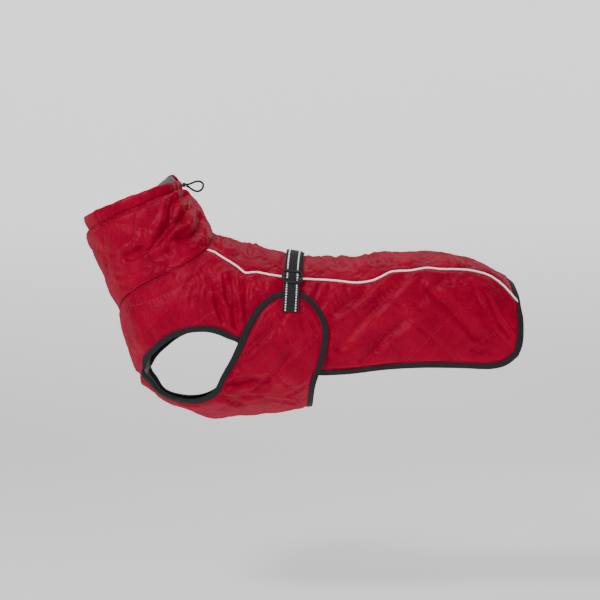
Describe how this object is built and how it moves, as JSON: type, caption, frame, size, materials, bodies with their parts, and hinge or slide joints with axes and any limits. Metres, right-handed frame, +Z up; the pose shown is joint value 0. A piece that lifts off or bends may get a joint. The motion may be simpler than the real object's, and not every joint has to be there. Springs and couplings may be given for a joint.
{
  "type": "dog winter coat",
  "caption": "Quilted winter coat for a dog in its hollow worn form, with a high drawcord collar, piped back seams, a chest and belly panel with side wings, and a webbing girth strap.",
  "frame": {"origin": "inner face of the back over the withers, where the coat rests on the wearer", "axes": "+X from the neck to the tail, +Y to the right side, +Z up"},
  "size_m": [0.6937, 0.2098, 0.3906],
  "materials": {
    "crimson_shell": "quilted woven shell with a soft sheen",
    "grey_fleece": "short matt fleece",
    "black_binding": "woven binding tape",
    "black_webbing": "flat woven webbing with white reflective threads",
    "white_reflective": "reflective piping",
    "black_plastic": "moulded, slightly glossy",
    "black_cord": "round braided elastic"
  },
  "bodies": {
    "root": {"back_panel": "crimson_shell", "side_panel_left": "crimson_shell", "side_panel_right": "crimson_shell", "collar": "crimson_shell", "collar_casing": "crimson_shell", "collar_lining": "grey_fleece", "belly_panel": "crimson_shell", "hem_binding": "black_binding", "belly_binding": "black_binding", "piping_left": "white_reflective", "piping_right": "white_reflective", "girth_strap": "black_webbing", "strap_return": "black_webbing", "strap_slider": "black_plastic", "cord_bead": "black_plastic", "drawcord_loop": "black_cord"}
  },
  "joints": []
}
